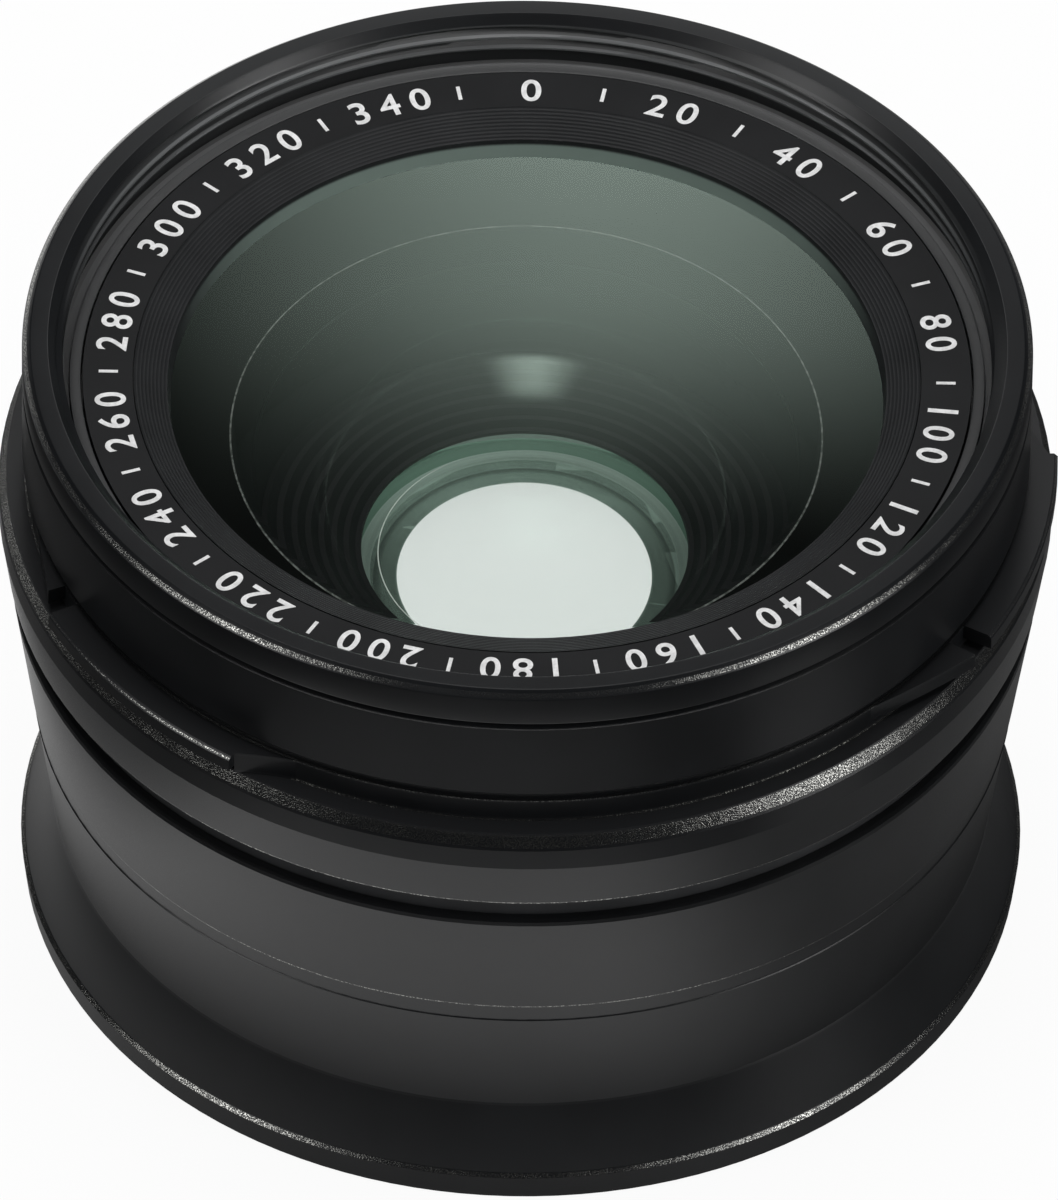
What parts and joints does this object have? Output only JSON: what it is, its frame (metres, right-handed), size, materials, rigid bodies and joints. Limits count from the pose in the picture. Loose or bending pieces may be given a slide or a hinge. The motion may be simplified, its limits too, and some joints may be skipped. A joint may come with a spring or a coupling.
{
  "type": "wide-angle conversion lens",
  "caption": "Round black screw-on wide-angle converter with front filter thread, hood bayonet, conical waist and flared rear skirt.",
  "frame": {"origin": "centre of the flat rear face, on the optical axis", "axes": "+Z along the optical axis towards the front glass; +Y points away from the side shown in the reference view"},
  "size_m": [0.055, 0.055, 0.0367],
  "materials": {
    "black_anodised": "fine satin black anodised, blasted",
    "skirt_anodised": "fine satin black anodised, blasted",
    "barrel_black": "matt black anodised",
    "screw_steel": "blackened",
    "name_ring_black": "matt black with fine white marks",
    "retainer_grey": "satin dark grey, finely turned",
    "front_glass": "polished, green coating",
    "seal_rubber": "soft black",
    "cell_black": "matt black anodised",
    "baffle_black": "dead black paint",
    "inner_glass": "polished, green coating",
    "magnet_metal": "plated",
    "cap_resin": "clear black resin"
  },
  "bodies": {
    "root": {"filter_ring": "black_anodised", "front_barrel": "black_anodised", "bayonet_ring": "black_anodised", "waist_sleeve": "black_anodised", "rear_skirt": "skirt_anodised", "lens_barrel": "barrel_black", "mount_ring": "barrel_black", "mount_screws": "screw_steel", "skirt_screws": "screw_steel", "name_ring": "name_ring_black", "front_retaining_ring": "retainer_grey", "front_element": "front_glass", "front_seal": "seal_rubber", "lens_cell": "cell_black", "baffle_cone": "baffle_black", "doublet_front": "inner_glass", "doublet_rear": "inner_glass", "rear_spacer": "cell_black", "rear_element": "inner_glass", "rear_retaining_ring": "cell_black", "magnet": "magnet_metal", "magnet_cap": "cap_resin"}
  },
  "joints": []
}
